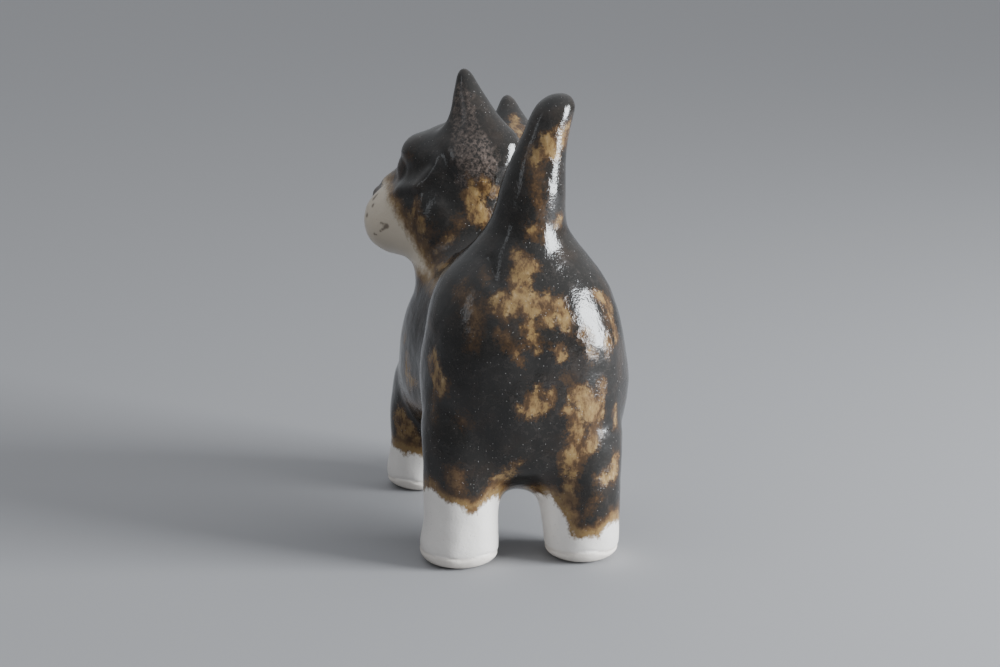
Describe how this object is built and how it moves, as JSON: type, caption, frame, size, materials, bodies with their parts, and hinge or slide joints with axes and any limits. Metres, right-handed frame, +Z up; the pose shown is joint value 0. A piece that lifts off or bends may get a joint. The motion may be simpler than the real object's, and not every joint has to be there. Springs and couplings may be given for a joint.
{
  "type": "ceramic animal figurine",
  "caption": "Hand-built glazed ceramic cat standing on four stubby feet, tail raised and head turned over its left shoulder.",
  "frame": {"origin": "centre of the figurine's bounding box, on the surface it stands on", "axes": "+Z up, +Y the way the body faces, +X the cat's right; the head looks round towards -X"},
  "size_m": [0.0412, 0.0738, 0.0844],
  "materials": {
    "tortoiseshell_glaze": "glossy near-black glaze with ochre patches and pinholes",
    "white_glaze": "satin white glaze",
    "foot_glaze": "satin white glaze, bare round the sole",
    "nose_slip": "dark brown slip under gloss",
    "eye_glaze": "glossy dark brown glaze"
  },
  "bodies": {
    "root": {"torso": "tortoiseshell_glaze", "head": "tortoiseshell_glaze", "muzzle": "white_glaze", "nose": "nose_slip", "left_eye": "eye_glaze", "right_eye": "eye_glaze", "left_ear": "tortoiseshell_glaze", "right_ear": "tortoiseshell_glaze", "tail": "tortoiseshell_glaze", "front_left_leg": "foot_glaze", "front_right_leg": "foot_glaze", "hind_left_leg": "foot_glaze", "hind_right_leg": "foot_glaze"}
  },
  "joints": []
}
